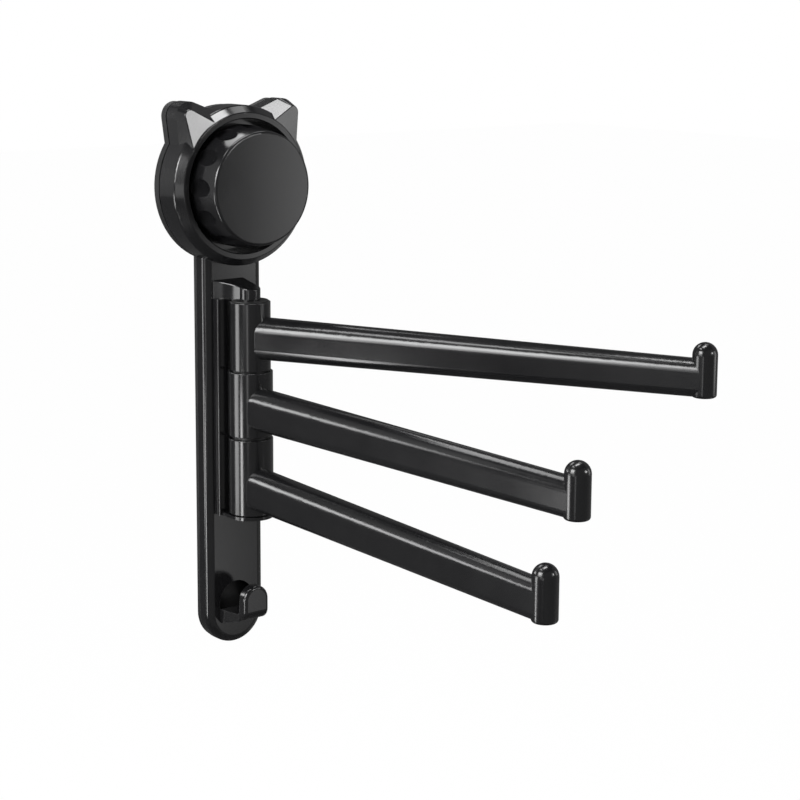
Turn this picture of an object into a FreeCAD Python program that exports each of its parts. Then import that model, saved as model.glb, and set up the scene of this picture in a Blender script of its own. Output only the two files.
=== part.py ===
import FreeCAD, Part
import math
import os

# Swing arm towel bar that holds on a smooth wall with a suction cup.
# Millimetres. +Z is up, +X is to the right, the wall is the plane Y = 0 and the
# object stands out of it towards -Y. The origin is on the wall, on the knob's axis.
# A "depth" is a distance out of the wall, so a point at depth d has Y = -d.

# ---------------------------------------------------------------- driving dimensions
# knob
knob_radius = 33.0
knob_front_radius = 30.5
knob_front_depth = 40.2
knob_edge_radius = 1.6
knob_front_wall = 3.2
knob_skirt_wall = 3.6
knob_hub_radius = 12.0
dimple_count = 12
dimple_first_angle = 28.0
dimple_depth_in = 1.6
dimple_centre_depth = 30.0
dimple_round_radius = 8.0
dimple_long_radius = 18.0

# head of the shell: a ring round the knob, with two pointed ears
knob_gap = 3.2
ring_width = 3.4
head_chamfer = 3.8
head_side_depth = 20.2
head_face_depth = 24.5
well_floor_depth = 14.0
well_floor_wall = 2.5
ear_height = 21.1
ear_corner_angle = 51.4
ear_inner_foot_angle = 69.7
ear_outer_foot_angle = 32.6
ear_tip_radius = 8.3
ear_face_tip_radius = 1.2
ear_side_depth = 15.5
ear_inner_chamfer = 7.4
ear_outer_chamfer = 2.8
ear_face_slope = 0.16
ear_face_drop = 0.5
ear_floor_depth = 12.5

# strip that hangs from the head
strip_half_width = 18.8
strip_chamfer = 3.7
strip_side_depth = 9.8
strip_face_depth = 11.8
strip_end_z = -258.6
shell_wall = 2.5

# back plate and the seam between it and the shell
head_plate_rear = 0.5
head_plate_front = 4.8
strip_plate_rear = 0.3
strip_plate_front = 3.0
head_seam = 1.7
strip_seam = 0.4
seam_inset = 1.5
strip_edge_radius = 3.0
ring_side_radius = 2.0
ring_face_radius = 0.8
well_edge_radius = 0.6
ear_edge_radius = 0.6
plate_inset = 0.4
plate_rim_width = 6.0

# suction cup and what presses and pulls it
cup_gap = 1.0
cup_rim_width = 8.0
cup_rim_wall = 2.0
cup_lift = 3.0
cup_centre_wall = 3.5
cup_crown_radius = 12.0
stem_flange_radius = 10.0
stem_flange_wall = 1.8
stem_thread_radius = 4.0
stem_end_depth = 34.0
plate_web_wall = 2.4
plate_skirt_wall = 4.0
insert_radius = 7.0
insert_length = 15.0
thrust_washer_wall = 1.0
thrust_washer_width = 5.5

# hinge bracket, pin and sleeves
sleeve_radius = 12.3
top_sleeve_step = 1.1
sleeve_heights = (37.5, 35.6, 42.1)
arm_drops = (19.7, 19.9, 27.3)
stack_top_z = -61.3
thin_washer_wall = 0.6
thick_washer_wall = 1.5
washer_inset = 1.2
pad_margin = 1.3
pad_rise = 4.7
pad_web = 2.4
pad_edge_radius = 0.8
sleeve_edge_radius = 0.4
groove_gap = 0.5
lug_root_half_width = 13.7
lug_sweep_x = 8.3
lug_sweep_depth = 18.6
lug_right_x = 6.5
lug_nose_radius = 5.75
lug_top_z = -51.3
lug_nose_drop = 3.9
lug_edge_radius = 0.8
floor_wall = 1.8
pin_radius = 4.0
pin_head_radius = 5.5
pin_head_wall = 1.5
pin_top_cover = 2.2
bush_wall = 1.45

# arms
arm_length = 255.0
arm_angles = (64.3, 89.8, 93.9)
arm_root_half_width = 8.5
arm_root_half_height = 11.5
arm_root_bottom_radius = 6.0
arm_end_half_width = 6.25
arm_end_half_height = 9.5
arm_end_bottom_radius = 4.5
post_radius = 6.3
post_below = 9.7
post_above = 17.8
post_bottom_edge = 1.5

# hook
hook_wall = 5.5
hook_front_depth = 32.0
hook_tab_radius = 8.1
hook_tab_z = -229.4
hook_seat_z = -237.5
hook_root_under_z = -245.4
hook_mid_under = (20.0, -243.6)
hook_bend_start = (27.0, -241.0)
hook_bend_mid = (30.7, -238.9)
hook_bend_end_z = -235.4
hook_inner_radius = 2.2
hook_root_half_width = 11.0
hook_rim_radius = 2.0
window_radius = 11.2
window_centre_z = -233.8

# fasteners
screw_radius = 1.5
screw_head_radius = 3.0
screw_head_wall = 1.6
boss_radius = 4.0
end_screw_rise = 10.5
screw_bite = 5.0
bracket_screw_x = 9.6
bracket_screw_inset = 11.0
arm_screw_reach = 11.0

# clearances
running = 0.05
slip = 0.02
seat = 0.3

# ---------------------------------------------------------------- worked out sizes
well_radius = knob_radius + knob_gap
head_radius = well_radius + ring_width + head_chamfer
strip_end_centre_z = strip_end_z + strip_half_width
strip_face_half_width = strip_half_width - strip_chamfer
plate_hole_radius = head_radius - plate_rim_width
cup_radius = plate_hole_radius - cup_gap
pin_depth = strip_face_depth + pad_web + groove_gap + sleeve_radius
pad_half_width = strip_face_half_width - pad_margin
pad_face_depth = strip_face_depth + pad_rise
bush_bore_radius = pin_radius + running
bush_outer_radius = bush_bore_radius + bush_wall
sleeve_bore_radius = bush_outer_radius + slip
sleeve_radii = (sleeve_radius - top_sleeve_step, sleeve_radius, sleeve_radius)
washer_walls = (thin_washer_wall, thin_washer_wall, thick_washer_wall, thin_washer_wall)
well_under_depth = well_floor_depth - well_floor_wall
cup_top_depth = cup_lift + cup_centre_wall
washer_bore_radius = stem_thread_radius + 5.0
names = ("top", "middle", "bottom")


# ---------------------------------------------------------------- small builders
def at(x, depth, z):
    """The point at x and z that stands out of the wall by depth."""
    return FreeCAD.Vector(x, -depth, z)


OUT = FreeCAD.Vector(0, -1, 0)
UP = FreeCAD.Vector(0, 0, 1)


def disc(radius, depth0, depth1, x=0.0, z=0.0):
    """A round slab that faces out of the wall."""
    return Part.makeCylinder(radius, depth1 - depth0, at(x, depth0, z), OUT)


def cone(radius0, radius1, depth0, depth1, x=0.0, z=0.0):
    """A round slab whose radius changes on the way out of the wall."""
    return Part.makeCone(radius0, radius1, depth1 - depth0, at(x, depth0, z), OUT)


def column(radius, z0, z1, x=0.0, depth=0.0):
    """An upright cylinder."""
    return Part.makeCylinder(radius, z1 - z0, at(x, depth, z0), UP)


def box(x0, x1, depth0, depth1, z0, z1):
    """A box between two corners."""
    return Part.makeBox(x1 - x0, depth1 - depth0, z1 - z0, at(x0, depth1, z0))


def face_of(edges):
    """A flat face inside a closed run of edges."""
    return Part.Face(Part.Wire(edges))


def polygon(points):
    """A flat face with straight sides."""
    return Part.Face(Part.makePolygon(points + points[:1]))


def turned(profile):
    """A solid turned about the knob's axis from (radius, depth) points."""
    face = polygon([at(radius, depth, 0) for radius, depth in profile])
    return face.revolve(at(0, 0, 0), OUT, 360)


def joined(first, *others):
    """One clean solid made of several."""
    return first.fuse(list(others)).removeSplitter()


def rounded(shape, radius, chosen):
    """The shape with a radius along the edges that a test on their bounds picks."""
    return shape.makeFillet(radius, [edge for edge in shape.Edges if chosen(edge.BoundBox)])


def save(name, shape):
    """Write one piece, or one group of like pieces."""
    solids = shape.Solids
    if not solids or not all(solid.isValid() for solid in solids):
        raise RuntimeError("no valid solid for " + name)
    shape = solids[0] if len(solids) == 1 else Part.makeCompound(solids)
    shape.exportStep(os.path.join("parts", name + ".step"))
    print("%-20s solids %d  volume %.0f" % (name, len(solids), shape.Volume))


# ---------------------------------------------------------------- outline of the shell
def polar(radius, angle):
    """A point in the XZ plane."""
    return (radius * math.cos(math.radians(angle)), radius * math.sin(math.radians(angle)))


def ear_wire(side, inner_inset, outer_inset, depth, tip_radius):
    """Outline of one ear at a depth, with each of its two straight sides moved in."""
    corner = polar(head_radius + ear_height, ear_corner_angle)
    feet = (polar(head_radius, ear_inner_foot_angle), polar(head_radius, ear_outer_foot_angle))
    along = []
    for foot in feet:
        dx, dz = foot[0] - corner[0], foot[1] - corner[1]
        length = math.hypot(dx, dz)
        along.append((dx / length, dz / length, length))
    (ax, az, a_length), (bx, bz, b_length) = along
    angle = math.acos(ax * bx + az * bz)
    along_a, along_b = outer_inset / math.sin(angle), inner_inset / math.sin(angle)
    tip = (
        corner[0] + ax * along_a + bx * along_b,
        corner[1] + az * along_a + bz * along_b,
    )
    cut = tip_radius / math.tan(angle / 2)
    to_arc = tip_radius / math.sin(angle / 2) - tip_radius
    mid_length = math.hypot(ax + bx, az + bz)
    flat = (
        (tip[0] + ax * (a_length + 9), tip[1] + az * (a_length + 9)),
        (tip[0] + ax * cut, tip[1] + az * cut),
        (tip[0] + (ax + bx) / mid_length * to_arc, tip[1] + (az + bz) / mid_length * to_arc),
        (tip[0] + bx * cut, tip[1] + bz * cut),
        (tip[0] + bx * (b_length + 5), tip[1] + bz * (b_length + 5)),
    )
    p = [at(side * x, depth, z) for x, z in flat]
    return Part.Wire([
        Part.makeLine(p[0], p[1]),
        Part.Arc(p[1], p[2], p[3]).toShape(),
        Part.makeLine(p[3], p[4]),
        Part.makeLine(p[4], p[0]),
    ])


def ear_slab(side, inset, depth0, depth1):
    """One ear as a slab."""
    tip_radius = max(ear_tip_radius - inset, ear_face_tip_radius)
    face = Part.Face(ear_wire(side, inset, inset, depth0, tip_radius))
    return face.extrude(OUT * (depth1 - depth0))


def ear_block(side):
    """One ear above its straight side: chamfered all round, its face leant back."""
    low = ear_wire(side, 0, 0, ear_side_depth, ear_tip_radius)
    high = ear_wire(side, ear_inner_chamfer, ear_outer_chamfer, head_face_depth,
                    ear_face_tip_radius)
    reach = head_radius + ear_height
    lean_start = head_face_depth - ear_face_drop
    lean_start += ear_face_slope * (head_radius - head_chamfer)
    lean = [
        (0, lean_start),
        (reach, lean_start - ear_face_slope * reach),
        (reach, lean_start + reach),
        (0, lean_start + reach),
    ]
    ux, uz = polar(1, ear_corner_angle)
    start = FreeCAD.Vector(-side * uz, 0, ux) * -reach
    above = polygon([at(side * r * ux, depth, r * uz) + start for r, depth in lean])
    above = above.extrude(FreeCAD.Vector(-side * uz, 0, ux) * 2 * reach)
    ear = Part.makeLoft([low, high], True, True).cut(above)
    return rounded(ear, ear_edge_radius, lambda b: b.YMin < -ear_side_depth - 1)


def head_slab(inset, depth0, depth1):
    """The head's outline, ring and ears, as a slab."""
    ears = [ear_slab(side, inset, depth0, depth1) for side in (-1, 1)]
    return joined(disc(head_radius - inset, depth0, depth1), *ears)


def strip_slab(inset, depth0, depth1):
    """The strip's outline as a slab, from its round end up into the head."""
    half = strip_half_width - inset
    bar = box(-half, half, depth0, depth1, strip_end_centre_z, -head_radius / 2)
    return joined(bar, disc(half, depth0, depth1, 0, strip_end_centre_z))


def strip_body(inset, side_depth, face_depth, chamfer, depth0):
    """The strip with its chamfered front edge."""
    half = strip_half_width - inset
    section = [
        (-half, depth0),
        (-half, side_depth),
        (chamfer - half, face_depth),
        (half - chamfer, face_depth),
        (half, side_depth),
        (half, depth0),
    ]
    bar = polygon([at(x, d, strip_end_centre_z) for x, d in section])
    bar = bar.extrude(UP * (-head_radius / 2 - strip_end_centre_z))
    end = disc(half, depth0, side_depth, 0, strip_end_centre_z)
    tip = cone(half, half - chamfer, side_depth, face_depth, 0, strip_end_centre_z)
    return joined(bar, end, tip)


# ---------------------------------------------------------------- screws
def shell_screw_places():
    """Where the screws from the back reach the shell: both ears and down the strip."""
    ear = polar(head_radius + ear_height * 0.13, ear_corner_angle)
    stack_end = stack_top_z - sum(sleeve_heights) - sum(washer_walls)
    return [
        (-ear[0], ear[1], head_plate_rear, head_plate_front),
        (ear[0], ear[1], head_plate_rear, head_plate_front),
        (0, stack_top_z, strip_plate_rear, strip_plate_front),
        (0, stack_end - 12, strip_plate_rear, strip_plate_front),
        (0, strip_end_z + end_screw_rise, strip_plate_rear, strip_plate_front),
    ]


def screw(x, z, head_depth, end_depth, grow=0.0):
    """A round-headed screw that points out of the wall, grown by a clearance."""
    head = disc(screw_head_radius + grow, head_depth, head_depth + screw_head_wall, x, z)
    shank = disc(screw_radius + grow, head_depth, end_depth + grow, x, z)
    return joined(head, shank)


def shell_screws(grow=0.0):
    return [
        screw(x, z, rear, front + screw_bite, grow)
        for x, z, rear, front in shell_screw_places()
    ]


def bracket_screws(grow=0.0):
    """Four screws from inside the shell into the hinge bracket's pad."""
    ceiling = strip_face_depth - shell_wall
    end = pad_face_depth - 0.8
    low = floor_under_z() + bracket_screw_inset
    places = [(x, z) for x in (-1, 1) for z in (stack_top_z - bracket_screw_inset, low)]
    return [
        screw(x * bracket_screw_x, z, ceiling - screw_head_wall, end, grow)
        for x, z in places
    ]


# ---------------------------------------------------------------- levels of the hinge
def sleeve_spans():
    """Bottom and top of each sleeve, from the top one down."""
    spans = []
    z = stack_top_z
    for height, washer in zip(sleeve_heights, washer_walls):
        top = z - washer - 2 * running
        spans.append((top - height, top))
        z = top - height
    return spans


def floor_top_z():
    return sleeve_spans()[-1][0] - washer_walls[-1] - 2 * running


def floor_under_z():
    return floor_top_z() - floor_wall


# ---------------------------------------------------------------- casing
def make_back_plate():
    plate = joined(
        head_slab(plate_inset, head_plate_rear, head_plate_front),
        strip_slab(plate_inset, strip_plate_rear, strip_plate_front),
    )
    plate = plate.cut(disc(plate_hole_radius, 0, head_plate_front))
    return plate.cut(shell_screws(slip))


def make_front_shell():
    """Outer casing: chamfered head with the knob's well, and the chamfered strip."""
    shell_rear = head_plate_front + head_seam
    ring = turned([
        (0, shell_rear),
        (head_radius, shell_rear),
        (head_radius, head_side_depth),
        (head_radius - head_chamfer, head_face_depth),
        (0, head_face_depth),
    ])
    ring.rotate(at(0, 0, 0), OUT, 90)
    ring = rounded(ring, ring_side_radius, lambda b: abs(b.YMax + head_side_depth) < 1e-3)
    ring = rounded(ring, ring_face_radius,
                   lambda b: b.YLength < 1e-3 and b.YMax < 1e-3 - head_face_depth)
    ears = []
    for side in (-1, 1):
        ears.append(ear_slab(side, 0, shell_rear, ear_side_depth))
        ears.append(ear_block(side))
    head = joined(ring, *ears)
    strip = rounded(
        strip_body(0, strip_side_depth, strip_face_depth, strip_chamfer,
                   strip_plate_front + strip_seam),
        strip_edge_radius,
        lambda b: b.YMax < 1e-3 - strip_side_depth and b.ZMin < strip_end_centre_z + 1e-3,
    ).cut(disc(head_radius, 0, head_plate_front))
    # a lip, set in from the edge, closes the seam on the back plate
    head_lip = head_slab(seam_inset, head_plate_front, head_plate_front + head_seam)
    strip_lip = strip_slab(seam_inset, strip_plate_front, strip_plate_front + strip_seam)
    strip_lip = strip_lip.cut(disc(head_radius, 0, head_plate_front))
    shell = joined(head, strip, head_lip, strip_lip)
    # inside the head: the cup's room, the ears' rooms and the knob's well
    room_radius = head_radius - shell_wall - seam_inset
    shell = shell.cut(disc(room_radius, 0, well_under_depth))
    for side in (-1, 1):
        ear_room = ear_slab(side, shell_wall + seam_inset, 0, ear_floor_depth)
        shell = shell.cut(ear_room.cut(disc(well_radius + shell_wall, 0, head_face_depth)))
    well = joined(
        disc(well_radius, well_floor_depth, head_face_depth),
        cone(well_radius, well_radius + well_edge_radius,
             head_face_depth - well_edge_radius, head_face_depth),
    )
    shell = shell.cut(well).cut(disc(well_radius, head_face_depth - 1, head_face_depth + 1))
    shell = shell.cut(disc(washer_bore_radius, 0, head_face_depth))
    # inside the strip
    room = strip_body(
        shell_wall + seam_inset,
        strip_side_depth - shell_wall / 2,
        strip_face_depth - shell_wall,
        strip_chamfer - shell_wall / 2,
        0,
    )
    shell = shell.cut(room.cut(disc(head_radius, 0, head_face_depth)))
    # bosses for the screws from the back, and the two sets of screw holes
    bosses = []
    for x, z, rear, front in shell_screw_places():
        ceiling = ear_floor_depth if z > 0 else strip_face_depth - shell_wall
        bosses.append(disc(boss_radius, front, ceiling + shell_wall / 2, x, z))
    shell = joined(shell, *bosses)
    shell = shell.cut(shell_screws(slip)).cut(bracket_screws(slip))
    # the window behind the hook's tip
    inside, outside = strip_face_depth - 2 * shell_wall, strip_face_depth + 1
    window = joined(
        box(-window_radius, window_radius, inside, outside, hook_seat_z, window_centre_z),
        disc(window_radius, inside, outside, 0, window_centre_z),
    )
    return shell.cut(window)


def make_hook():
    """A tongue that leaves the foot of the strip and turns up into a round tab."""
    half = hook_root_half_width
    back = strip_face_depth
    front = hook_front_depth
    inner = front - hook_wall
    top = hook_tab_z + hook_tab_radius
    turn = hook_inner_radius * (1 - math.sqrt(0.5))
    under = [
        at(-half, back, hook_root_under_z),
        at(-half, *hook_mid_under),
        at(-half, *hook_bend_start),
        at(-half, *hook_bend_mid),
        at(-half, front, hook_bend_end_z),
    ]
    seat_points = [
        at(-half, inner, hook_seat_z + hook_inner_radius),
        at(-half, inner - turn, hook_seat_z + turn),
        at(-half, inner - hook_inner_radius, hook_seat_z),
        at(-half, back, hook_seat_z),
    ]
    front_top, inner_top = at(-half, front, top), at(-half, inner, top)
    side_view = face_of([
        Part.Arc(under[0], under[1], under[2]).toShape(),
        Part.Arc(under[2], under[3], under[4]).toShape(),
        Part.makeLine(under[4], front_top),
        Part.makeLine(front_top, inner_top),
        Part.makeLine(inner_top, seat_points[0]),
        Part.Arc(seat_points[0], seat_points[1], seat_points[2]).toShape(),
        Part.makeLine(seat_points[2], seat_points[3]),
        Part.makeLine(seat_points[3], under[0]),
    ])
    hook = side_view.extrude(FreeCAD.Vector(2 * half, 0, 0))
    low = hook_root_under_z - 1
    taper = polygon([
        at(-half, back - 1, low),
        at(half, back - 1, low),
        at(hook_tab_radius, hook_bend_start[0], low),
        at(hook_tab_radius, front + 1, low),
        at(-hook_tab_radius, front + 1, low),
        at(-hook_tab_radius, hook_bend_start[0], low),
    ]).extrude(UP * (top - low + 1))
    tab = joined(
        disc(hook_tab_radius, back - 1, front + 1, 0, hook_tab_z),
        box(-half, half, back - 1, front + 1, low, hook_tab_z),
    )
    hook = hook.common(taper).common(tab)
    rim_top = hook_tab_z + 1
    return rounded(hook, hook_rim_radius,
                   lambda b: b.YLength < 1e-3 and b.YMax < 1e-3 - front and b.ZMax > rim_top)


# ---------------------------------------------------------------- suction cup
def make_suction_cup():
    """Soft cup: its flat rim lies on the wall and its centre is pulled off the wall."""
    inner_rim = cup_radius - cup_rim_width
    slope_radius = cup_radius - cup_rim_width * 0.6
    return turned([
        (inner_rim, 0),
        (cup_radius, 0),
        (cup_radius, cup_rim_wall),
        (slope_radius, cup_rim_wall),
        (cup_crown_radius, cup_top_depth),
        (0, cup_top_depth),
        (0, cup_lift),
        (cup_crown_radius, cup_lift * 0.8),
    ])


def make_pressure_plate():
    """Rigid dish between the shell and the cup. Its skirt presses the cup's rim down."""
    outer = cup_radius + slip
    inner = outer - plate_skirt_wall
    top = well_under_depth - running
    under = top - plate_web_wall
    return turned([
        (stem_thread_radius + seat, under),
        (stem_thread_radius + seat, top),
        (outer, top),
        (outer, cup_rim_wall + seat),
        (inner, cup_rim_wall + seat),
        (inner, under),
    ])


def make_cup_stem():
    """Stud fixed in the cup's centre. The knob's thread pulls it out of the wall."""
    flange_depth = cup_top_depth + running
    flange = disc(stem_flange_radius, flange_depth, flange_depth + stem_flange_wall)
    return joined(flange, disc(stem_thread_radius, flange_depth, stem_end_depth))


def hub_depth():
    """Where the knob's hub and its insert start, just clear of the thrust washer."""
    return well_floor_depth + running + thrust_washer_wall + running


def make_thrust_washer():
    start = well_floor_depth + running
    outer = disc(washer_bore_radius + thrust_washer_width, start, start + thrust_washer_wall)
    return outer.cut(disc(washer_bore_radius - 1, start, start + thrust_washer_wall))


# ---------------------------------------------------------------- knob
def dimple(angle):
    """A finger scoop: a barrel shape that stands along the knob's side."""
    half_length = math.sqrt(dimple_long_radius**2 - (dimple_long_radius - dimple_round_radius)**2)
    low = at(0, dimple_centre_depth - half_length, 0)
    high = at(0, dimple_centre_depth + half_length, 0)
    belly = Part.Arc(low, at(dimple_round_radius, dimple_centre_depth, 0), high).toShape()
    barrel = face_of([belly, Part.makeLine(high, low)]).revolve(at(0, 0, 0), OUT, 360)
    reach = (knob_radius + knob_front_radius) / 2 + dimple_round_radius - dimple_depth_in
    x, z = polar(reach, angle)
    barrel.translate(FreeCAD.Vector(x, 0, z))
    return barrel


def make_knob():
    """Hollow knob with a hub, tapered side, rounded front edge and finger scoops."""
    rear = well_floor_depth + running + thrust_washer_wall / 2
    front = knob_front_depth
    side = [
        (0, rear),
        (knob_radius, rear),
        (knob_radius, head_face_depth),
        (knob_front_radius, front),
        (0, front),
    ]
    knob = turned(side)
    knob = rounded(knob, knob_edge_radius,
                   lambda b: b.YLength < 1e-3 and b.YMax < 1e-3 - front)
    room = disc(knob_front_radius - knob_skirt_wall, rear, front - knob_front_wall)
    hub = disc(knob_hub_radius, rear, front - knob_front_wall)
    knob = knob.cut(room.cut(hub))
    step = 360.0 / dimple_count
    scoops = [dimple(dimple_first_angle + step * i) for i in range(dimple_count)]
    knob = knob.cut(scoops)
    # the hub stops short of the washer, takes the insert and clears the stem's end
    knob = knob.cut(disc(knob_hub_radius + 1, rear - 1, hub_depth()))
    knob = knob.cut(disc(insert_radius, rear, hub_depth() + insert_length + slip))
    return knob.cut(disc(stem_thread_radius + seat, rear, front - knob_front_wall))


def make_knob_insert():
    start = hub_depth()
    insert = disc(insert_radius - slip, start, start + insert_length)
    return insert.cut(disc(stem_thread_radius + running, start, start + insert_length))


# ---------------------------------------------------------------- hinge bracket and pin
def lug_plan(z):
    """Plan of the top lug: swept in on its left, straight on its right, round in front."""
    root_depth = strip_face_depth
    side_angle = math.radians(15)
    nose_x = lug_nose_radius * math.cos(side_angle)
    nose_d = pin_depth - lug_nose_radius * math.sin(side_angle)
    left_root, left_nose = at(-lug_root_half_width, root_depth, z), at(-nose_x, nose_d, z)
    right_root, right_nose = at(lug_right_x, root_depth, z), at(lug_nose_radius, pin_depth, z)
    return face_of([
        Part.makeLine(right_root, right_nose),
        Part.Arc(right_nose, at(0, pin_depth + lug_nose_radius, z), left_nose).toShape(),
        Part.Arc(left_nose, at(-lug_sweep_x, lug_sweep_depth, z), left_root).toShape(),
        Part.makeLine(left_root, right_root),
    ])


def make_lug():
    """Arm of the bracket over the sleeves. Its top slopes down to the nose."""
    lug = lug_plan(stack_top_z).extrude(UP * (lug_top_z - stack_top_z))
    reach = pin_depth + lug_nose_radius
    half = lug_root_half_width + 1
    above = polygon([
        at(-half, strip_face_depth, lug_top_z),
        at(-half, reach + 1, lug_top_z - lug_nose_drop),
        at(-half, reach + 1, lug_top_z + 1),
        at(-half, strip_face_depth, lug_top_z + 1),
    ]).extrude(FreeCAD.Vector(2 * half, 0, 0))
    return rounded(lug.cut(above), lug_edge_radius,
                   lambda b: b.ZMin > stack_top_z + 1 and b.YLength > 1)


def make_hinge_bracket():
    """Pad on the strip with a groove for the sleeves, a lug above and a floor below."""
    floor_top, floor_under = floor_top_z(), floor_under_z()
    pad = rounded(
        box(-pad_half_width, pad_half_width, strip_face_depth, pad_face_depth,
            floor_under, stack_top_z),
        pad_edge_radius,
        lambda b: b.YMax < 1e-3 - pad_face_depth and b.ZLength > 1,
    )
    floor_neck = box(-sleeve_radius, sleeve_radius, strip_face_depth, pin_depth,
                     floor_under, floor_top)
    floor = joined(column(sleeve_radius, floor_under, floor_top, 0, pin_depth), floor_neck)
    groove = column(sleeve_radius + groove_gap, floor_top, stack_top_z, 0, pin_depth)
    bracket = joined(pad.cut(groove), make_lug(), floor)
    pin_hole = column(pin_radius + slip / 2, floor_under - 1, pin_top_z(), 0, pin_depth)
    return bracket.cut(pin_hole).cut(bracket_screws(slip))


def pin_top_z():
    return lug_top_z - lug_nose_drop - pin_top_cover


def make_pivot_pin():
    under = floor_under_z()
    shaft = column(pin_radius, under - pin_head_wall, pin_top_z(), 0, pin_depth)
    return joined(shaft, column(pin_head_radius, under - pin_head_wall, under, 0, pin_depth))


def ring_washer(top, wall, outer):
    """A flat washer on the pin, just under the level top."""
    z1 = top - running
    ring = column(outer, z1 - wall, z1, 0, pin_depth)
    return ring.cut(column(bush_bore_radius, z1 - wall, z1, 0, pin_depth))


def make_washers():
    """The thin friction washers as one group, and the thicker spacer."""
    tops = [stack_top_z] + [bottom for bottom, top in sleeve_spans()]
    outer = sleeve_radii[0] - washer_inset
    rings = [ring_washer(top, wall, outer) for top, wall in zip(tops, washer_walls)]
    spacer = rings.pop(2)
    return Part.makeCompound(rings), spacer


# ---------------------------------------------------------------- arms
def arm_section(x, half_width, half_height, bottom_radius):
    """Upright section of an arm: full round top, flat sides, rounded bottom corners."""
    w, h, r = half_width, half_height, bottom_radius
    turn = r * (1 - math.sqrt(0.5))
    shoulder = h - w
    p = [FreeCAD.Vector(x, y, z) for y, z in (
        (-w, shoulder), (0, h), (w, shoulder), (w, r - h), (w - turn, turn - h),
        (w - r, -h), (r - w, -h), (turn - w, turn - h), (-w, r - h),
    )]
    return Part.Wire([
        Part.Arc(p[0], p[1], p[2]).toShape(),
        Part.makeLine(p[2], p[3]),
        Part.Arc(p[3], p[4], p[5]).toShape(),
        Part.makeLine(p[5], p[6]),
        Part.Arc(p[6], p[7], p[8]).toShape(),
        Part.makeLine(p[8], p[0]),
    ])


def placed(shape, index):
    """Turn a shape from along +X about the pin and set it at its arm's level."""
    z = sleeve_spans()[index][1] - arm_drops[index]
    shape.rotate(FreeCAD.Vector(0, 0, 0), UP, -arm_angles[index])
    shape.translate(at(0, pin_depth, z))
    return shape


def arm_screw(index, grow=0.0):
    """Screw from the sleeve's bore, along the arm, into the arm's root."""
    along = FreeCAD.Vector(1, 0, 0)
    start = sleeve_bore_radius + running
    end = sleeve_radii[index] + arm_screw_reach
    head_end = start + screw_head_wall
    head = Part.makeCylinder(
        screw_head_radius + grow, head_end + grow, FreeCAD.Vector(0, 0, 0), along)
    shank = Part.makeCylinder(screw_radius + grow, end + grow, FreeCAD.Vector(0, 0, 0), along)
    clear = Part.makeCylinder(start - grow, 2 * screw_head_radius + 1,
                              FreeCAD.Vector(0, 0, -screw_head_radius - 0.5), UP)
    return placed(joined(head, shank).cut(clear), index)


def make_arm_bar(index):
    """Tapered bar with a round upright post at its end, hollowed to meet its sleeve."""
    radius = sleeve_radii[index] + slip
    root = arm_section(radius - 4, arm_root_half_width, arm_root_half_height,
                       arm_root_bottom_radius)
    end = arm_section(arm_length, arm_end_half_width, arm_end_half_height,
                      arm_end_bottom_radius)
    bar = Part.makeLoft([root, end], True, True)
    foot = FreeCAD.Vector(arm_length, 0, -post_below)
    post = Part.makeCylinder(post_radius, post_below + post_above - post_radius, foot, UP)
    post = rounded(post, post_bottom_edge, lambda b: b.ZMax < 1e-3 - post_below)
    dome_centre = FreeCAD.Vector(arm_length, 0, post_above - post_radius)
    dome = Part.makeSphere(post_radius, dome_centre)
    bar = joined(bar, post, dome)
    around_sleeve = Part.makeCylinder(radius, 4 * arm_root_half_height,
                                      FreeCAD.Vector(0, 0, -2 * arm_root_half_height), UP)
    bar = placed(bar.cut(around_sleeve), index)
    return bar.cut(arm_screw(index, slip))


def make_knuckle(index):
    bottom, top = sleeve_spans()[index]
    sleeve = rounded(column(sleeve_radii[index], bottom, top, 0, pin_depth),
                     sleeve_edge_radius, lambda b: b.ZLength < 1e-3)
    sleeve = sleeve.cut(column(sleeve_bore_radius, bottom, top, 0, pin_depth))
    return sleeve.cut(arm_screw(index, slip))


def make_bush(index):
    bottom, top = sleeve_spans()[index]
    outer = column(bush_outer_radius, bottom, top, 0, pin_depth)
    return outer.cut(column(bush_bore_radius, bottom, top, 0, pin_depth))


# ---------------------------------------------------------------- write every piece
os.makedirs("parts", exist_ok=True)

save("back_plate", make_back_plate())
save("front_shell", make_front_shell())
save("hook", make_hook())
save("shell_screws", Part.makeCompound(shell_screws()))

save("suction_cup", make_suction_cup())
save("pressure_plate", make_pressure_plate())
save("cup_stem", make_cup_stem())
save("thrust_washer", make_thrust_washer())
save("knob", make_knob())
save("knob_insert", make_knob_insert())

save("hinge_bracket", make_hinge_bracket())
save("bracket_screws", Part.makeCompound(bracket_screws()))
save("pivot_pin", make_pivot_pin())
friction_washers, spacer_washer = make_washers()
save("friction_washers", friction_washers)
save("spacer_washer", spacer_washer)

for number, name in enumerate(names):
    save("knuckle_" + name, make_knuckle(number))
    save("bush_" + name, make_bush(number))
    save("arm_bar_" + name, make_arm_bar(number))
    save("arm_screw_" + name, arm_screw(number))
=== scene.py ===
import math

import bmesh
import bpy
from mathutils import Matrix, Vector


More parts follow.
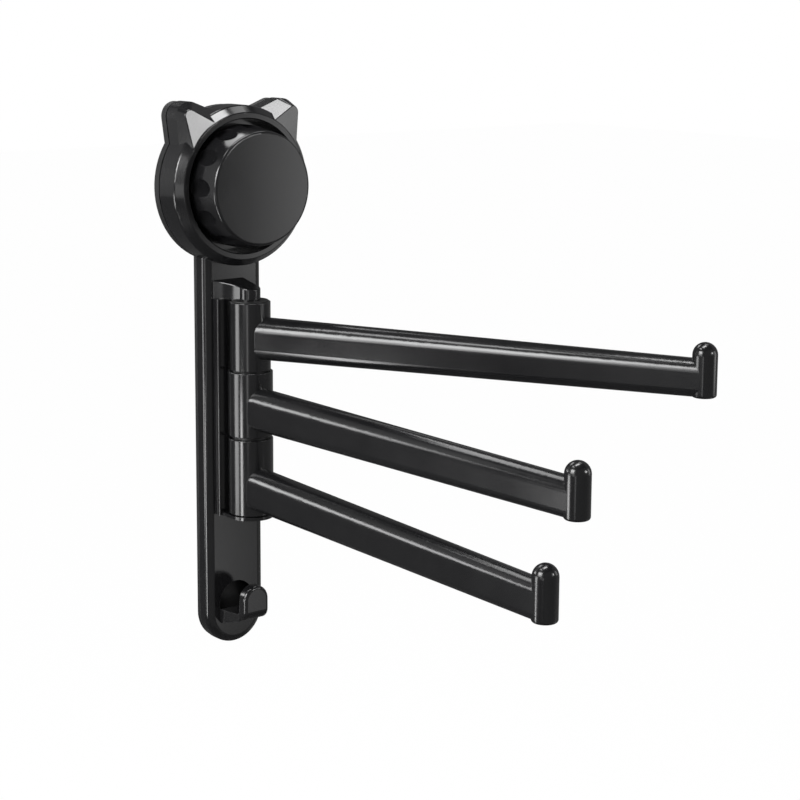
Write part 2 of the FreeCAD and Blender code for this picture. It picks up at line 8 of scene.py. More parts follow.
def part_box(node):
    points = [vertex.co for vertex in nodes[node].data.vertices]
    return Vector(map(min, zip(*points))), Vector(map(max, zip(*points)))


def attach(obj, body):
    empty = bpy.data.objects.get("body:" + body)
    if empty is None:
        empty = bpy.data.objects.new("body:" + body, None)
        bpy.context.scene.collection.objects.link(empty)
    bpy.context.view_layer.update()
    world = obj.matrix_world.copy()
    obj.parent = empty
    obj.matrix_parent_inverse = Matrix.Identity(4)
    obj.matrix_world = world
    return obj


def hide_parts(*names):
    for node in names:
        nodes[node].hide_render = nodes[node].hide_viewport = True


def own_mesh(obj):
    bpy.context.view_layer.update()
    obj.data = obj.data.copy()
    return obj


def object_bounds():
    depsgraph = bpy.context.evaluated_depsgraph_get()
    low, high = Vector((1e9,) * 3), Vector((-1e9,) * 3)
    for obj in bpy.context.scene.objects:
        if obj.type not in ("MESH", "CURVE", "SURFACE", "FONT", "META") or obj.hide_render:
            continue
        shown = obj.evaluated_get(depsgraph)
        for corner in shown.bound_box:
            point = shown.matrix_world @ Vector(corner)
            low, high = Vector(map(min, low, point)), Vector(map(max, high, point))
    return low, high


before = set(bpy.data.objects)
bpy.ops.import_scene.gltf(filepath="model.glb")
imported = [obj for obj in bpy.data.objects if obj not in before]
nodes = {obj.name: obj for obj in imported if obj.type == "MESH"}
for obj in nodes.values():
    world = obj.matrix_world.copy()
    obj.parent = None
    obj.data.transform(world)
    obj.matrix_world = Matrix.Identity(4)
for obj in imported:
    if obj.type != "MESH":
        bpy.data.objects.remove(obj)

cad_low, cad_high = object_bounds()
scene = bpy.context.scene


# ------------------------------------------------------------------------- camera
# The photograph looks from the left of the towel bar and a little above it, with a
# long lens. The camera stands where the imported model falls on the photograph.
VIEW_AZIMUTH = math.radians(-39.16)
VIEW_HEIGHT = math.radians(9.97)
VIEW_ROLL = math.radians(0.36)
VIEW_PLACE = Vector((-0.61303, -0.90874, 0.10607))
VIEW_LENS = 90.0
VIEW_SHIFT_UP = -0.0768

toward = Vector((
    math.sin(VIEW_AZIMUTH) * math.cos(VIEW_HEIGHT),
    -math.cos(VIEW_AZIMUTH) * math.cos(VIEW_HEIGHT),
    math.sin(VIEW_HEIGHT),
))
level = Vector((math.cos(VIEW_AZIMUTH), math.sin(VIEW_AZIMUTH), 0))
upright = toward.cross(level)
right = level * math.cos(VIEW_ROLL) + upright * math.sin(VIEW_ROLL)
top = upright * math.cos(VIEW_ROLL) - level * math.sin(VIEW_ROLL)

lens = bpy.data.cameras.new("photo_camera")
lens.sensor_width = 36.0
lens.lens = VIEW_LENS
lens.shift_y = VIEW_SHIFT_UP
lens.clip_start = 0.05
lens.clip_end = 50.0
camera = bpy.data.objects.new("photo_camera", lens)
scene.collection.objects.link(camera)
turn = Matrix((right, top, toward)).transposed().to_4x4()
camera.matrix_world = Matrix.Translation(VIEW_PLACE) @ turn
scene.camera = camera


# ------------------------------------------------------------- floor and white surround
# A plain pale floor of matt paper lies well under the towel bar. The surround is white
# to the camera and in reflections, and a weak even fill for the light on the object.
FLOOR_DROP = 0.45
FLOOR_HALF = 8.0
FLOOR_COLOR = (0.93, 0.93, 0.93, 1.0)
FLOOR_WHITE_SHARE = 0.98
SURROUND_FILL = 0.55
SURROUND_WHITE = 1.0

floor_mesh = bpy.data.meshes.new("studio_floor")
floor_z = cad_low.z - FLOOR_DROP
floor_mesh.from_pydata(
    [(-FLOOR_HALF, -FLOOR_HALF, floor_z), (FLOOR_HALF, -FLOOR_HALF, floor_z),
     (FLOOR_HALF, FLOOR_HALF, floor_z), (-FLOOR_HALF, FLOOR_HALF, floor_z)],
    [], [(0, 1, 2, 3)])
floor = bpy.data.objects.new("studio_floor", floor_mesh)
scene.collection.objects.link(floor)


def seen_share(tree, share):
    """Share, for the rays of the camera, reflections and glass, and nothing for the rest."""
    rays = tree.nodes.new("ShaderNodeLightPath")
    camera_or_gloss = tree.nodes.new("ShaderNodeMath")
    camera_or_gloss.operation = "MAXIMUM"
    seen = tree.nodes.new("ShaderNodeMath")
    seen.operation = "MAXIMUM"
    part = tree.nodes.new("ShaderNodeMath")
    part.operation = "MULTIPLY"
    part.inputs[1].default_value = share
    tree.links.new(rays.outputs["Is Camera Ray"], camera_or_gloss.inputs[0])
    tree.links.new(rays.outputs["Is Glossy Ray"], camera_or_gloss.inputs[1])
    tree.links.new(camera_or_gloss.outputs[0], seen.inputs[0])
    tree.links.new(rays.outputs["Is Transmission Ray"], seen.inputs[1])
    tree.links.new(seen.outputs[0], part.inputs[0])
    return part.outputs[0]


paint = bpy.data.materials.new("pale_floor")
paint.use_nodes = True
tree = paint.node_tree
floor_shader = tree.nodes["Principled BSDF"]
floor_shader.inputs["Base Color"].default_value = FLOOR_COLOR
floor_shader.inputs["Roughness"].default_value = 0.9
floor_shader.inputs["Specular IOR Level"].default_value = 0.1
white_paper = tree.nodes.new("ShaderNodeEmission")
lit_or_white = tree.nodes.new("ShaderNodeMixShader")
tree.links.new(seen_share(tree, FLOOR_WHITE_SHARE), lit_or_white.inputs["Fac"])
tree.links.new(floor_shader.outputs[0], lit_or_white.inputs[1])
tree.links.new(white_paper.outputs[0], lit_or_white.inputs[2])
tree.links.new(lit_or_white.outputs[0], tree.nodes["Material Output"].inputs["Surface"])
floor_mesh.materials.append(paint)
floor.visible_glossy = False

world = bpy.data.worlds.new("white_surround")
scene.world = world
world.use_nodes = True
tree = world.node_tree
tree.nodes.clear()
pick = tree.nodes.new("ShaderNodeMix")
pick.data_type = "FLOAT"
pick.inputs["A"].default_value = SURROUND_FILL
pick.inputs["B"].default_value = SURROUND_WHITE
sky = tree.nodes.new("ShaderNodeBackground")
sky.inputs["Color"].default_value = (1.0, 1.0, 1.0, 1.0)
sky_out = tree.nodes.new("ShaderNodeOutputWorld")
tree.links.new(seen_share(tree, 1.0), pick.inputs["Factor"])
tree.links.new(pick.outputs["Result"], sky.inputs["Strength"])
tree.links.new(sky.outputs[0], sky_out.inputs["Surface"])


# ------------------------------------------------------------------ cards for the gloss
# Glossy black plastic is photographed among dark cards, so that it mirrors them and not
# the white surround. Six large ones stand all round, and five small shaded ones near the
# object. Only reflections see the cards, and they cast no shade.
CARD_REACH = 3.0
FACING_ALIKE = 0.9
CARD_TONES = {
    "left": ((-1, 0, 0), 0.10), "right": ((1, 0, 0), 0.22),
    "front": ((0, -1, 0), 0.20), "behind": ((0, 1, 0), 0.10),
    "over": ((0, 0, 1), 0.06), "under": ((0, 0, -1), 0.08),
}

card_mesh = bpy.data.meshes.new("gloss_cards")
shaped = bmesh.new()
bmesh.ops.create_cube(shaped, size=2 * CARD_REACH)
for number, (facing, tone) in enumerate(CARD_TONES.values()):
    card = bpy.data.materials.new("card_tone_%d" % number)
    card.use_nodes = True
    tree = card.node_tree
    tree.nodes.clear()
    card_glow = tree.nodes.new("ShaderNodeEmission")
    card_glow.inputs["Color"].default_value = (tone, tone, tone, 1.0)
    card_out = tree.nodes.new("ShaderNodeOutputMaterial")
    tree.links.new(card_glow.outputs[0], card_out.inputs["Surface"])
    card_mesh.materials.append(card)
    for face in shaped.faces:
        if face.normal.dot(Vector(facing)) > FACING_ALIKE:
            face.material_index = number
shaped.to_mesh(card_mesh)
shaped.free()
cards = bpy.data.objects.new("gloss_cards", card_mesh)
scene.collection.objects.link(cards)


def gloss_only(card):
    """Let nothing but reflections see a card."""
    card.visible_camera = False
    card.visible_diffuse = False
    card.visible_transmission = False
    card.visible_shadow = False


def graded_card(name, place, facing, wide, tall, tones):
    """An upright card, shaded from one upright edge to the other, and clear from behind."""
    mesh = bpy.data.meshes.new(name)
    mesh.from_pydata(
        [(-wide / 2, -tall / 2, 0), (wide / 2, -tall / 2, 0),
         (wide / 2, tall / 2, 0), (-wide / 2, tall / 2, 0)],
        [], [(0, 1, 2, 3)])
    glow = bpy.data.materials.new(name)
    glow.use_nodes = True
    tree = glow.node_tree
    tree.nodes.clear()
    across = tree.nodes.new("ShaderNodeTexCoord")
    parts = tree.nodes.new("ShaderNodeSeparateXYZ")
    ramp = tree.nodes.new("ShaderNodeMapRange")
    ramp.inputs["From Min"].default_value = -wide / 2
    ramp.inputs["From Max"].default_value = wide / 2
    ramp.inputs["To Min"].default_value = tones[0]
    ramp.inputs["To Max"].default_value = tones[1]
    paper = tree.nodes.new("ShaderNodeEmission")
    side = tree.nodes.new("ShaderNodeNewGeometry")
    clear = tree.nodes.new("ShaderNodeBsdfTransparent")
    either = tree.nodes.new("ShaderNodeMixShader")
    shown = tree.nodes.new("ShaderNodeOutputMaterial")
    tree.links.new(across.outputs["Object"], parts.inputs[0])
    tree.links.new(parts.outputs["X"], ramp.inputs["Value"])
    tree.links.new(ramp.outputs["Result"], paper.inputs["Strength"])
    tree.links.new(side.outputs["Backfacing"], either.inputs["Fac"])
    tree.links.new(paper.outputs[0], either.inputs[1])
    tree.links.new(clear.outputs[0], either.inputs[2])
    tree.links.new(either.outputs[0], shown.inputs["Surface"])
    mesh.materials.append(glow)
    card = bpy.data.objects.new(name, mesh)
    scene.collection.objects.link(card)
    card.location = place
    card.rotation_mode = "QUATERNION"
    card.rotation_quaternion = Vector(facing).to_track_quat("Z", "Y")
    gloss_only(card)


gloss_only(cards)
# each comment says where the card shows: here the left ear's outer chamfer, the ring's side
graded_card("head_side_card", place=(-0.13, 0.09, 0.05), facing=(0.62, -0.76, 0.0),
            wide=0.22, tall=0.16, tones=(0.65, 0.15))
# in the knob's flat face, which it turns paler to the right
graded_card("knob_face_card", place=(0.318, -0.44, -0.06), facing=(-0.62, 0.76, 0.1),
            wide=0.14, tall=0.17, tones=(3.4, 0.0))
# in the strip's face under the bracket
graded_card("strip_face_card", place=(0.27, -0.41, -0.345), facing=(-0.56, 0.80, 0.2),
            wide=0.10, tall=0.13, tones=(0.2, 1.6))
# the thin line down the strip's left edge; it stands past the reach of the arms
graded_card("strip_edge_card", place=(-0.318, -0.070, -0.270), facing=(0.98, 0.20, 0.1),
            wide=0.060, tall=0.19, tones=(12.0, 12.0))
# in the ring's left chamfer
graded_card("ring_edge_card", place=(-0.894, -0.456, -0.095), facing=(0.89, 0.44, 0.1),
            wide=0.30, tall=0.25, tones=(1.0, 2.0))


# --------------------------------------------------------------------------- lights
# Soft boxes on the left draw the bright lines down the sleeves and the posts, and along
# the arms' upper curves. Those above and in front catch the chamfers, the ears, the
# lug's top and the hook.
LAMP_TARGET = Vector((0.0, -0.05, -0.10))


def soft_box(name, place, wide, tall, watts):
    """A soft box at a place, turned to face the middle of the towel bar."""
    box = bpy.data.lights.new(name, "AREA")
    box.shape = "RECTANGLE"
    box.size = wide
    box.size_y = tall
    box.energy = watts
    lamp = bpy.data.objects.new(name, box)
    scene.collection.objects.link(lamp)
    lamp.location = place
    lamp.rotation_mode = "QUATERNION"
    lamp.rotation_quaternion = (Vector(place) - LAMP_TARGET).to_track_quat("Z", "Y")


soft_box("sleeve_line", place=(-1.15, 0.42, -0.34), wide=0.50, tall=0.36, watts=3.3)
soft_box("arm_line_left", place=(-1.12, -0.16, 0.50), wide=0.70, tall=0.40, watts=12.5)
soft_box("arm_line_low", place=(-1.19, -0.16, 0.18), wide=0.70, tall=0.26, watts=3.6)
soft_box("arm_line_behind", place=(-0.74, 1.06, 0.20), wide=0.56, tall=0.26, watts=3.4)
soft_box("upper_left", place=(-0.62, 0.13, 1.00), wide=0.40, tall=0.22, watts=2.2)
soft_box("above_behind", place=(0.065, 0.727, 0.834), wide=0.55, tall=0.35, watts=2.4)
soft_box("post_line", place=(-0.787, -0.68, -0.25), wide=0.14, tall=0.20, watts=0.22)
soft_box("overhead", place=(-0.02, -0.17, 1.00), wide=0.56, tall=0.24, watts=6.4)
soft_box("over_right", place=(0.53, -0.02, 0.98), wide=0.36, tall=0.30, watts=1.0)
soft_box("front_above", place=(0.444, -1.12, 0.211), wide=0.22, tall=0.18, watts=1.7)
soft_box("right_far", place=(0.878, -0.825, 0.172), wide=0.22, tall=0.20, watts=0.46)


# ------------------------------------------------------------------------ back plate
# The flat tray behind the casing, moulded in black plastic with a fine sandy texture.
# Five screws hold it to the casing, and its round hole lets the suction cup through.
def socket(group, name, way, kind, value=None):
    """Add an input or output to a node group, and an input's own value."""
    made = group.interface.new_socket(name=name, in_out=way, socket_type=kind)
    if value is not None:
        made.default_value = value
    return made


def moulded_skin_group():
    """Skin of a moulded part: slow patches of tone, and fine and coarse surface height."""
    group = bpy.data.node_groups.new("moulded_skin", "ShaderNodeTree")
    socket(group, "Grain Scale", "INPUT", "NodeSocketFloat", 2500.0)
    socket(group, "Ripple Scale", "INPUT", "NodeSocketFloat", 220.0)
    socket(group, "Ripple Share", "INPUT", "NodeSocketFloat", 0.5)
    socket(group, "Patches", "OUTPUT", "NodeSocketFloat")
    socket(group, "Height", "OUTPUT", "NodeSocketFloat")
    add = group.nodes.new
    link = group.links.new
    given = add("NodeGroupInput")
    result = add("NodeGroupOutput")
    place = add("ShaderNodeTexCoord")
    patches = add("ShaderNodeTexNoise")
    patches.inputs["Scale"].default_value = 28.0
    patches.inputs["Detail"].default_value = 4.0
    patches.inputs["Roughness"].default_value = 0.6
    grain = add("ShaderNodeTexNoise")
    grain.inputs["Detail"].default_value = 2.0
    ripple = add("ShaderNodeTexNoise")
    ripple.inputs["Detail"].default_value = 1.0
    blend = add("ShaderNodeMix")
    blend.data_type = "FLOAT"
    for texture in (patches, grain, ripple):
        link(place.outputs["Object"], texture.inputs["Vector"])
    link(given.outputs["Grain Scale"], grain.inputs["Scale"])
    link(given.outputs["Ripple Scale"], ripple.inputs["Scale"])
    link(given.outputs["Ripple Share"], blend.inputs["Factor"])
    link(grain.outputs["Fac"], blend.inputs["A"])
    link(ripple.outputs["Fac"], blend.inputs["B"])
    link(patches.outputs["Fac"], result.inputs["Patches"])
    link(blend.outputs["Result"], result.inputs["Height"])
    return group


def rubbed_edge_group():
    """Mask of the edges that hands and cloths rub, broken up so that it isn't even."""
    group = bpy.data.node_groups.new("rubbed_edge", "ShaderNodeTree")
    socket(group, "Width", "INPUT", "NodeSocketFloat", 0.0008)
    socket(group, "Amount", "INPUT", "NodeSocketFloat", 1.0)
    socket(group, "Edge", "OUTPUT", "NodeSocketFloat")
    add = group.nodes.new
    link = group.links.new
    given = add("NodeGroupInput")
    result = add("NodeGroupOutput")
    rounded = add("ShaderNodeBevel")
    rounded.samples = 6
    surface = add("ShaderNodeNewGeometry")
    alike = add("ShaderNodeVectorMath")
    alike.operation = "DOT_PRODUCT"
    edge = add("ShaderNodeMapRange")
    edge.inputs["From Min"].default_value = 0.995
    edge.inputs["From Max"].default_value = 0.90
    place = add("ShaderNodeTexCoord")
    broken = add("ShaderNodeTexNoise")
    broken.inputs["Scale"].default_value = 160.0
    broken.inputs["Detail"].default_value = 5.0
    gaps = add("ShaderNodeMapRange")
    gaps.inputs["From Min"].default_value = 0.42
    gaps.inputs["From Max"].default_value = 0.68
    worn = add("ShaderNodeMath")
    worn.operation = "MULTIPLY"
    share = add("ShaderNodeMath")
    share.operation = "MULTIPLY"
    link(given.outputs["Width"], rounded.inputs["Radius"])
    link(rounded.outputs["Normal"], alike.inputs[0])
    link(surface.outputs["Normal"], alike.inputs[1])
    link(alike.outputs["Value"], edge.inputs["Value"])
    link(place.outputs["Object"], broken.inputs["Vector"])
    link(broken.outputs["Fac"], gaps.inputs["Value"])
    link(edge.outputs["Result"], worn.inputs[0])
    link(gaps.outputs["Result"], worn.inputs[1])
    link(worn.outputs["Value"], share.inputs[0])
    link(given.outputs["Amount"], share.inputs[1])
    link(share.outputs["Value"], result.inputs["Edge"])
    return group


moulded_skin = moulded_skin_group()
rubbed_edge = rubbed_edge_group()


def moulded_plastic(name, dark, pale, worn, smooth, rough, grain, bump, specular):
    """Moulded plastic: tone and gloss change in patches, the skin has height, edges are rubbed.

    grain holds the scale of the fine grain, that of the ripple, and the ripple's share.
    """
    material = bpy.data.materials.new(name)
    material.use_nodes = True
    material.diffuse_color = (*dark, 1.0)
    add = material.node_tree.nodes.new
    link = material.node_tree.links.new
    shader = material.node_tree.nodes["Principled BSDF"]
    shader.inputs["Specular IOR Level"].default_value = specular
    skin = add("ShaderNodeGroup")
    skin.node_tree = moulded_skin
    skin.inputs["Grain Scale"].default_value = grain[0]
    skin.inputs["Ripple Scale"].default_value = grain[1]
    skin.inputs["Ripple Share"].default_value = grain[2]
    edge = add("ShaderNodeGroup")
    edge.node_tree = rubbed_edge
    edge.inputs["Width"].default_value = 0.0007
    edge.inputs["Amount"].default_value = 0.7
    tone = add("ShaderNodeMix")
    tone.data_type = "RGBA"
    tone.inputs["A"].default_value = (*dark, 1.0)
    tone.inputs["B"].default_value = (*pale, 1.0)
    worn_tone = add("ShaderNodeMix")
    worn_tone.data_type = "RGBA"
    worn_tone.inputs["B"].default_value = (*worn, 1.0)
    gloss = add("ShaderNodeMapRange")
    gloss.inputs["From Min"].default_value = 0.3
    gloss.inputs["From Max"].default_value = 0.7
    gloss.inputs["To Min"].default_value = smooth
    gloss.inputs["To Max"].default_value = rough
    height = add("ShaderNodeBump")
    height.inputs["Strength"].default_value = bump
    height.inputs["Distance"].default_value = 0.0002
    link(skin.outputs["Patches"], tone.inputs["Factor"])
    link(tone.outputs["Result"], worn_tone.inputs["A"])
    link(edge.outputs["Edge"], worn_tone.inputs["Factor"])
    link(worn_tone.outputs["Result"], shader.inputs["Base Color"])
    link(skin.outputs["Patches"], gloss.inputs["Value"])
    link(gloss.outputs["Result"], shader.inputs["Roughness"])
    link(skin.outputs["Height"], height.inputs["Height"])
    link(height.outputs["Normal"], shader.inputs["Normal"])
    return material


def finish_node(node, material):
    """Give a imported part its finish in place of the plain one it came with."""
    slots = nodes[node].material_slots
    if not slots:
        nodes[node].data.materials.append(material)
    for held in slots:
        held.material = material


backing_plastic = moulded_plastic(
    "backing_plastic", dark=(0.006, 0.006, 0.0063), pale=(0.012, 0.012, 0.0125),
    worn=(0.04, 0.04, 0.042), smooth=0.40, rough=0.55, grain=(1900.0, 260.0, 0.25),
    bump=0.35, specular=0.4)
finish_node("back_plate", backing_plastic)


# ------------------------------------------------------------------------ front shell
# The casing that shows: an eared ring round the knob, and the long strip under it.
# It is one injection moulding in black, polished to a satin gloss, with soft edges.
casing_plastic = moulded_plastic(
    "casing_plastic", dark=(0.0045, 0.0045, 0.005), pale=(0.008, 0.008, 0.0085),
    worn=(0.045, 0.045, 0.047), smooth=0.14, rough=0.19, grain=(3200.0, 150.0, 0.7),
    bump=0.015, specular=0.55)
finish_node("front_shell", casing_plastic)


# ----------------------------------------------------------------------- casing screws
# Five pan-head screws go in from behind and hold the casing to the back plate, two in
# the ears and three down the strip. They are zinc-plated steel with a cross recess.
def plated_steel(name, color, smooth, rough, brushed):
    """Plated or turned metal: faint brushing, and tone that shifts in slow patches."""
    material = bpy.data.materials.new(name)
    material.use_nodes = True
    material.diffuse_color = (*color, 1.0)
    add = material.node_tree.nodes.new
    link = material.node_tree.links.new
    shader = material.node_tree.nodes["Principled BSDF"]
    shader.inputs["Metallic"].default_value = 1.0
    skin = add("ShaderNodeGroup")
    skin.node_tree = moulded_skin
    skin.inputs["Grain Scale"].default_value = 4000.0
    skin.inputs["Ripple Scale"].default_value = brushed
    skin.inputs["Ripple Share"].default_value = 0.4
    tone = add("ShaderNodeMix")
    tone.data_type = "RGBA"
    tone.inputs["A"].default_value = (*[0.8 * part for part in color], 1.0)
    tone.inputs["B"].default_value = (*color, 1.0)
    gloss = add("ShaderNodeMapRange")
    gloss.inputs["To Min"].default_value = smooth
    gloss.inputs["To Max"].default_value = rough
    height = add("ShaderNodeBump")
    height.inputs["Strength"].default_value = 0.15
    height.inputs["Distance"].default_value = 0.0001
    link(skin.outputs["Patches"], tone.inputs["Factor"])
    link(tone.outputs["Result"], shader.inputs["Base Color"])
    link(skin.outputs["Height"], gloss.inputs["Value"])
    link(gloss.outputs["Result"], shader.inputs["Roughness"])
    link(skin.outputs["Height"], height.inputs["Height"])
    link(height.outputs["Normal"], shader.inputs["Normal"])
    return material


def spun(name, outline, sides):
    """A mesh turned about the Y axis from (radius, y) points, closed at both ends."""
    mesh = bpy.data.meshes.new(name)
    shaped = bmesh.new()
    rings = []
    for radius, y in outline:
        if radius == 0.0:
            rings.append([shaped.verts.new((0.0, y, 0.0))])
            continue
        rings.append([
            shaped.verts.new((radius * math.cos(math.tau * k / sides), y,
                              radius * math.sin(math.tau * k / sides)))
            for k in range(sides)
        ])
    for near, far in zip(rings, rings[1:]):
        for k in range(sides):
            after = (k + 1) % sides
            corners = [near[k % len(near)], near[after % len(near)],
                       far[after % len(far)], far[k % len(far)]]
            shaped.faces.new(list(dict.fromkeys(corners)))
    bmesh.ops.recalc_face_normals(shaped, faces=shaped.faces)
    for face in shaped.faces:
        face.smooth = True
    shaped.to_mesh(mesh)
    shaped.free()
    return mesh


def made_piece(name, mesh, material, body, node):
    """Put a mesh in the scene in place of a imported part, with its finish and body."""
    mesh.materials.append(material)
    piece = bpy.data.objects.new(name, mesh)
    scene.collection.objects.link(piece)
    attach(piece, body)
    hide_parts(node)
    return piece


SCREW_RADIUS = 0.0015
SCREW_HEAD_RADIUS = 0.003
SCREW_HEAD_WALL = 0.0016
SCREW_HEAD_EDGE = 0.0004
SCREW_TIP_RADIUS = 0.00045
SCREW_SIDES = 32
SCREW_SHARP_ANGLE = math.radians(30)
SCREW_RECESS_HALF = 0.0017
SCREW_RECESS_WIDTH = 0.0006
SCREW_RECESS_DEPTH = 0.0009
SAME_POINT = 1e-6

screw_steel = plated_steel("screw_steel", (0.62, 0.62, 0.64), 0.22, 0.38, 900.0)


def screw_mesh(name, places):
    """Screws that point out of the wall, from (x, z, head y, tip y) of each."""
    whole = bmesh.new()
    for x, z, head_y, tip_y in places:
        under_head = head_y - SCREW_HEAD_WALL
        body = spun("turned_screw", [
            (0.0, head_y), (SCREW_HEAD_RADIUS - SCREW_HEAD_EDGE, head_y),
            (SCREW_HEAD_RADIUS, head_y - SCREW_HEAD_EDGE), (SCREW_HEAD_RADIUS, under_head),
            (SCREW_RADIUS, under_head), (SCREW_RADIUS, tip_y + SCREW_RADIUS),
            (SCREW_TIP_RADIUS, tip_y), (0.0, tip_y),
        ], SCREW_SIDES)
        screw = bpy.data.objects.new("turned_screw", body)
        scene.collection.objects.link(screw)
        for long_x, long_z in ((SCREW_RECESS_HALF, SCREW_RECESS_WIDTH / 2),
                               (SCREW_RECESS_WIDTH / 2, SCREW_RECESS_HALF)):
            tool_mesh = bpy.data.meshes.new("recess")
            tool = bmesh.new()
            bmesh.ops.create_cube(tool, size=2.0)
            bmesh.ops.scale(tool, vec=(long_x, SCREW_RECESS_DEPTH, long_z), verts=tool.verts)
            bmesh.ops.translate(tool, vec=(0, head_y, 0), verts=tool.verts)
            tool.to_mesh(tool_mesh)
            tool.free()
            cutter = bpy.data.objects.new("recess", tool_mesh)
            scene.collection.objects.link(cutter)
            cut = screw.modifiers.new("recess", "BOOLEAN")
            cut.operation = "DIFFERENCE"
            cut.solver = "EXACT"
            cut.object = cutter
            bpy.context.view_layer.update()
            seen = screw.evaluated_get(bpy.context.evaluated_depsgraph_get())
            screw.data = bpy.data.meshes.new_from_object(seen)
            screw.modifiers.clear()
            bpy.data.objects.remove(cutter)
        screw.data.transform(Matrix.Translation((x, 0, z)))
        whole.from_mesh(screw.data)
        bpy.data.objects.remove(screw)
    mesh = bpy.data.meshes.new(name)
    whole.to_mesh(mesh)
    whole.free()
    mesh.set_sharp_from_angle(angle=SCREW_SHARP_ANGLE)
    return mesh


def screw_places(node):
    """The x, z, head y and tip y of each screw of a node, from the solids in its mesh."""
    apart = bmesh.new()
    apart.from_mesh(nodes[node].data)
    bmesh.ops.remove_doubles(apart, verts=apart.verts, dist=SAME_POINT)
    left = set(apart.verts)
    places = []
    while left:
        reached = [left.pop()]
        for vert in reached:
            for edge in vert.link_edges:
                other = edge.other_vert(vert)
                if other in left:
                    left.discard(other)
                    reached.append(other)
        xs = [vert.co.x for vert in reached]
        ys = [vert.co.y for vert in reached]
        zs = [vert.co.z for vert in reached]
        places.append(((min(xs) + max(xs)) / 2, (min(zs) + max(zs)) / 2, max(ys), min(ys)))
    apart.free()
    return sorted(places)


made_piece("shell_screw_set", screw_mesh("shell_screw_set", screw_places("shell_screws")),
           screw_steel, "wall_unit", "shell_screws")


# ------------------------------------------------------------------------ suction cup
# A soft clear-grey cup whose flat rim lies on the wall. Its middle is drawn off the wall
# by the stem, and it flattens again when the knob lets the stem go back.
CUP_SIDES = 96
CUP_GROOVE = 0.00012
# the hollow under the middle: each point's radius and share of the cup's height
CUP_HOLLOW = ((0.0, 0.46), (0.006, 0.455), (0.012, 0.37), (0.020, 0.17), (0.026, 0.03),
              (0.028, 0.0))
# the rim with its sealing groove: each point's inset from the edge and height off the wall
CUP_RIM = ((0.0036, 0.0), (0.0034, CUP_GROOVE), (0.0026, CUP_GROOVE), (0.0024, 0.0),
           (0.0004, 0.0), (0.0, 0.0003), (0.0, 0.0014), (0.0005, 0.0019), (0.0040, 0.0020),
           (0.0060, 0.0023))
# the rise to the stem's seat: each point's radius and share of the cup's height
CUP_BACK = ((0.022, 0.66), (0.014, 0.93), (0.0115, 0.985), (0.0100, 1.0), (0.0, 1.0))

cup_low, cup_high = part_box("suction_cup")
cup_radius = (cup_high.x - cup_low.x) / 2
cup_top = cup_low.y
cup_outline = [(radius, cup_top * share) for radius, share in CUP_HOLLOW]
cup_outline += [(cup_radius - inset, -height) for inset, height in CUP_RIM]
cup_outline += [(radius, cup_top * share) for radius, share in CUP_BACK]

cup_skin = bpy.data.materials.new("cup_vinyl")
cup_skin.use_nodes = True
cup_skin.diffuse_color = (0.62, 0.64, 0.66, 1.0)
cup_tree = cup_skin.node_tree
cup_shader = cup_tree.nodes["Principled BSDF"]
cup_shader.inputs["Transmission Weight"].default_value = 0.45
cup_shader.inputs["IOR"].default_value = 1.5
cup_marks = cup_tree.nodes.new("ShaderNodeGroup")
cup_marks.node_tree = moulded_skin
cup_marks.inputs["Grain Scale"].default_value = 1400.0
cup_marks.inputs["Ripple Scale"].default_value = 120.0
cup_marks.inputs["Ripple Share"].default_value = 0.8
cup_tone = cup_tree.nodes.new("ShaderNodeMix")
cup_tone.data_type = "RGBA"
cup_tone.inputs["A"].default_value = (0.50, 0.53, 0.56, 1.0)
cup_tone.inputs["B"].default_value = (0.68, 0.70, 0.72, 1.0)
cup_gloss = cup_tree.nodes.new("ShaderNodeMapRange")
cup_gloss.inputs["To Min"].default_value = 0.16
cup_gloss.inputs["To Max"].default_value = 0.34
cup_height = cup_tree.nodes.new("ShaderNodeBump")
cup_height.inputs["Strength"].default_value = 0.1
cup_height.inputs["Distance"].default_value = 0.0003
cup_tree.links.new(cup_marks.outputs["Patches"], cup_tone.inputs["Factor"])
cup_tree.links.new(cup_tone.outputs["Result"], cup_shader.inputs["Base Color"])
cup_tree.links.new(cup_marks.outputs["Patches"], cup_gloss.inputs["Value"])
cup_tree.links.new(cup_gloss.outputs["Result"], cup_shader.inputs["Roughness"])
cup_tree.links.new(cup_marks.outputs["Height"], cup_height.inputs["Height"])
cup_tree.links.new(cup_height.outputs["Normal"], cup_shader.inputs["Normal"])

soft_cup = made_piece("soft_cup", spun("soft_cup", cup_outline, CUP_SIDES), cup_skin,
                      "wall_unit", "suction_cup")
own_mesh(soft_cup)


# ---------------------------------------------------- pressure plate, stem, thrust washer
# Behind the knob: a rigid dish that presses the cup's rim, a steel stud fixed in the
# cup, and a slippery acetal washer that the knob turns on.
acetal = moulded_plastic(
    "black_acetal", dark=(0.010, 0.010, 0.010), pale=(0.016, 0.016, 0.016),
    worn=(0.03, 0.03, 0.03), smooth=0.34, rough=0.44, grain=(2600.0, 300.0, 0.4),
    bump=0.1, specular=0.45)
finish_node("pressure_plate", backing_plastic)
finish_node("cup_stem", plated_steel("stem_steel", (0.60, 0.60, 0.62), 0.25, 0.42, 500.0))
finish_node("thrust_washer", acetal)


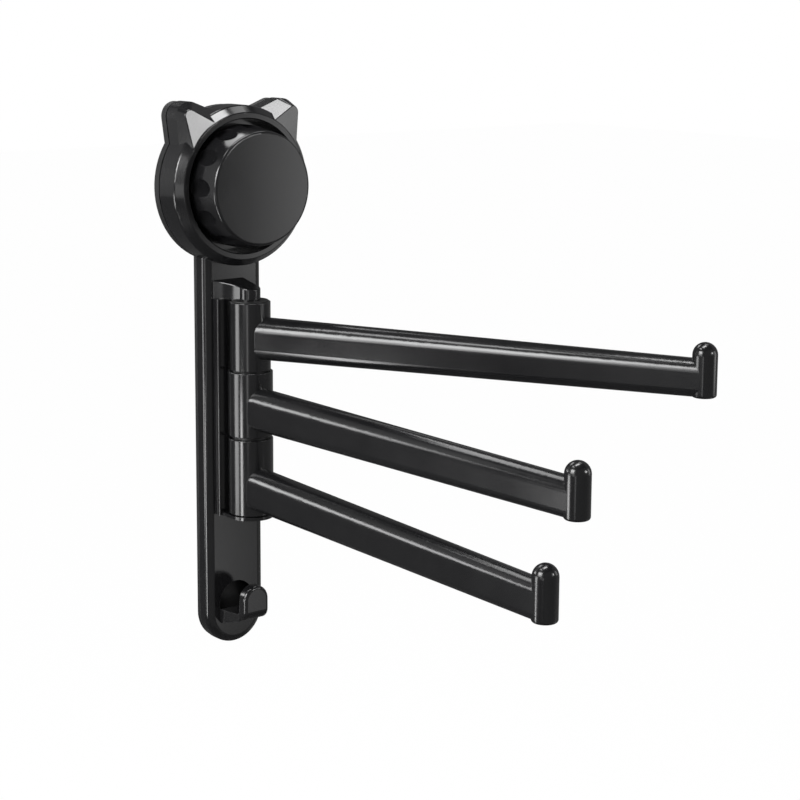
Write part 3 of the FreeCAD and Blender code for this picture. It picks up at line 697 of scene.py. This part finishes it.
# ------------------------------------------------------------------------------- knob
# The round knob that tightens the cup. It is moulded in the same polished black as the
# casing, with twelve finger scoops round its side and a brass insert in its hub.
grip_plastic = moulded_plastic(
    "grip_plastic", dark=(0.0045, 0.0045, 0.005), pale=(0.008, 0.008, 0.0085),
    worn=(0.05, 0.05, 0.052), smooth=0.14, rough=0.19, grain=(3000.0, 140.0, 0.7),
    bump=0.015, specular=0.55)
finish_node("knob", grip_plastic)
finish_node("knob_insert", plated_steel("insert_brass", (0.78, 0.57, 0.26), 0.20, 0.35, 700.0))


# ------------------------------------------------------------------------------- hook
# A short tongue at the foot of the strip that turns up into a round tab, for a loop
# or a cord. It is finished with the casing.
finish_node("hook", casing_plastic)


# ---------------------------------------------------- hinge bracket, its screws and pin
# A grooved pad on the strip with a lug above the sleeves and a floor below them. Four
# screws hold it from inside the casing, and a steel pin runs down through everything.
# The bracket's black is painted a little darker than the casing's: painted shade for the shadow
# and dark reflection its faces stand in.
bracket_painted_shade_plastic = moulded_plastic(
    "bracket_painted_shade_plastic", dark=(0.004, 0.004, 0.0045), pale=(0.007, 0.007, 0.0075),
    worn=(0.05, 0.05, 0.052), smooth=0.14, rough=0.19, grain=(3100.0, 130.0, 0.7),
    bump=0.015, specular=0.55)
finish_node("hinge_bracket", bracket_painted_shade_plastic)
finish_node("bracket_screws", screw_steel)
finish_node("pivot_pin", plated_steel("pin_steel", (0.58, 0.58, 0.60), 0.20, 0.34, 600.0))
finish_node("friction_washers", acetal)
finish_node("spacer_washer", acetal)


# ----------------------------------------------------------------- sleeves and arms
# Three sleeves turn on the pin on acetal bushes, each with an arm screwed to it. The
# arms taper to a round post that stops a towel, and are moulded in glossy black.
sleeve_plastic = moulded_plastic(
    "sleeve_plastic", dark=(0.0045, 0.0045, 0.005), pale=(0.008, 0.008, 0.0085),
    worn=(0.05, 0.05, 0.052), smooth=0.15, rough=0.20, grain=(3000.0, 130.0, 0.7),
    bump=0.015, specular=0.55)
arm_plastic = moulded_plastic(
    "arm_plastic", dark=(0.0045, 0.0045, 0.005), pale=(0.008, 0.008, 0.0085),
    worn=(0.05, 0.05, 0.052), smooth=0.17, rough=0.22, grain=(3000.0, 110.0, 0.75),
    bump=0.012, specular=0.55)
for level_name in ("top", "middle", "bottom"):
    finish_node("knuckle_" + level_name, sleeve_plastic)
    finish_node("bush_" + level_name, acetal)
    finish_node("arm_bar_" + level_name, arm_plastic)
    finish_node("arm_screw_" + level_name, screw_steel)


# ------------------------------------------------------------------------------ finish
# The photograph's tones are kept as they are.
scene.view_settings.view_transform = "Standard"
